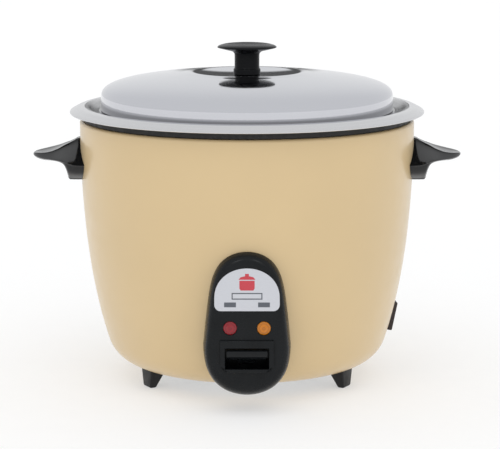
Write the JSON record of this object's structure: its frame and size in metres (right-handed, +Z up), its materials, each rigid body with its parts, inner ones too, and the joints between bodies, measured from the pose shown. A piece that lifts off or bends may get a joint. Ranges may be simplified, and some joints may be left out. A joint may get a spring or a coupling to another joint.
{
  "type": "rice cooker",
  "caption": "Large round rice cooker: enamelled barrel body, drop-in flanged pan, dished metal lid with knob, side handles and a front panel with a cook lever.",
  "frame": {"origin": "on the floor under the centre of the pan, at the feet's undersides", "axes": "+Z up, -Y towards the control panel, +X through the right-hand handle as seen from the front"},
  "size_m": [0.436, 0.36, 0.344],
  "materials": {
    "shell_enamel": "beige baked enamel on pressed sheet steel, semi-gloss",
    "polished_aluminium": "spun and polished",
    "pan_aluminium": "spun, satin inside and brighter on the flange",
    "black_phenolic": "moulded black heat-proof resin, soft gloss",
    "panel_plastic": "moulded black plastic, satin gloss",
    "rim_silicone": "black heat-proof seat ring",
    "label_plate": "silver-white printed plate, left blank",
    "lamp_red": "clear red lens",
    "lamp_amber": "clear amber lens",
    "neon_glass": "small neon bulb",
    "cast_aluminium": "cast and machined, matt",
    "liner_steel": "bright drawn sheet",
    "zinc_steel": "zinc plated sheet",
    "element_sheath": "heat-darkened sheath",
    "spring_steel": "bright spring wire",
    "ferrite": "dark sintered ferrite",
    "screw_steel": "plated fastener",
    "inlet_plastic": "dark brown moulded plastic",
    "pin_brass": "bare brass",
    "wire_cover": "glass-fibre and silicone sleeve, off-white",
    "fuse_ceramic": "glazed sleeve",
    "heater_mica": "mica band with wound wire inside"
  },
  "bodies": {
    "body": {"outer_shell": "shell_enamel", "inner_liner": "liner_steel", "rim_seat_ring": "rim_silicone", "bottom_plate": "zinc_steel", "bottom_screw_1": "screw_steel", "bottom_screw_2": "screw_steel", "bottom_screw_3": "screw_steel", "foot_front_left": "black_phenolic", "foot_front_right": "black_phenolic", "foot_rear": "black_phenolic", "foot_screw_front_left": "screw_steel", "foot_screw_front_right": "screw_steel", "foot_screw_rear": "screw_steel", "hot_plate": "cast_aluminium", "heating_element": "element_sheath", "plate_support_1": "zinc_steel", "plate_support_2": "zinc_steel", "plate_support_3": "zinc_steel", "keep_warm_band": "heater_mica", "thermostat_body": "zinc_steel", "sensor_spring": "spring_steel", "lever_bracket": "zinc_steel", "lever_pivot_pin": "screw_steel", "microswitch": "black_phenolic", "control_panel": "panel_plastic", "face_label": "label_plate", "cook_lamp_lens": "lamp_red", "hold_lamp_lens": "lamp_amber", "cook_lamp_bulb": "neon_glass", "hold_lamp_bulb": "neon_glass", "panel_screw_left": "screw_steel", "panel_screw_right": "screw_steel", "power_inlet": "inlet_plastic", "inlet_pin_left": "pin_brass", "inlet_pin_right": "pin_brass", "handle_left": "black_phenolic", "handle_right": "black_phenolic", "handle_screw_left_front": "screw_steel", "handle_screw_left_rear": "screw_steel", "handle_screw_right_front": "screw_steel", "handle_screw_right_rear": "screw_steel", "thermal_fuse": "fuse_ceramic", "wire_inlet_to_fuse": "wire_cover", "wire_fuse_to_element": "wire_cover", "wire_inlet_to_switch": "wire_cover", "wire_switch_to_element": "wire_cover", "wire_cook_lamp": "wire_cover", "wire_hold_lamp": "wire_cover"},
    "pan": {"inner_pan": "pan_aluminium"},
    "lid": {"lid": "polished_aluminium", "lid_knob": "black_phenolic", "knob_screw": "screw_steel"},
    "lever": {"lever_arm": "zinc_steel", "cook_lever": "panel_plastic"},
    "magnet": {"magnet_holder": "spring_steel"},
    "plunger": {"switch_plunger": "wire_cover"},
    "sensor": {"sensor_cap": "cast_aluminium", "sensor_ferrite": "ferrite"}
  },
  "joints": [
    {"name": "pan_lift", "type": "slide", "parent": "body", "child": "pan", "axis": [0, 0, 1], "range_m": [0, 0.2]},
    {"name": "lid_lift", "type": "slide", "parent": "pan", "child": "lid", "axis": [0, 0, 1], "range_m": [0, 0.12]},
    {"name": "lever_hinge", "type": "hinge", "parent": "body", "child": "lever", "pos_m": [0, -0.062, 0.056], "axis": [1, 0, 0], "range_deg": [0, 4.15]},
    {"name": "magnet_rise", "type": "slide", "parent": "body", "child": "magnet", "axis": [0, 0, 1], "range_m": [0, 0.0046]},
    {"name": "plunger_rise", "type": "slide", "parent": "body", "child": "plunger", "axis": [0, 0, 1], "range_m": [0, 0.0023]},
    {"name": "sensor_rise", "type": "slide", "parent": "body", "child": "sensor", "axis": [0, 0, 1], "range_m": [0, 0.0032], "deforming": ["sensor_spring"]}
  ],
  "couplings": [
    {"joint": "magnet_rise", "follows": "lever_hinge", "m_per_rad": 0.062},
    {"joint": "plunger_rise", "follows": "lever_hinge", "m_per_rad": 0.031},
    {"joint": "sensor_rise", "follows": "pan_lift", "ratio": 0.015}
  ]
}
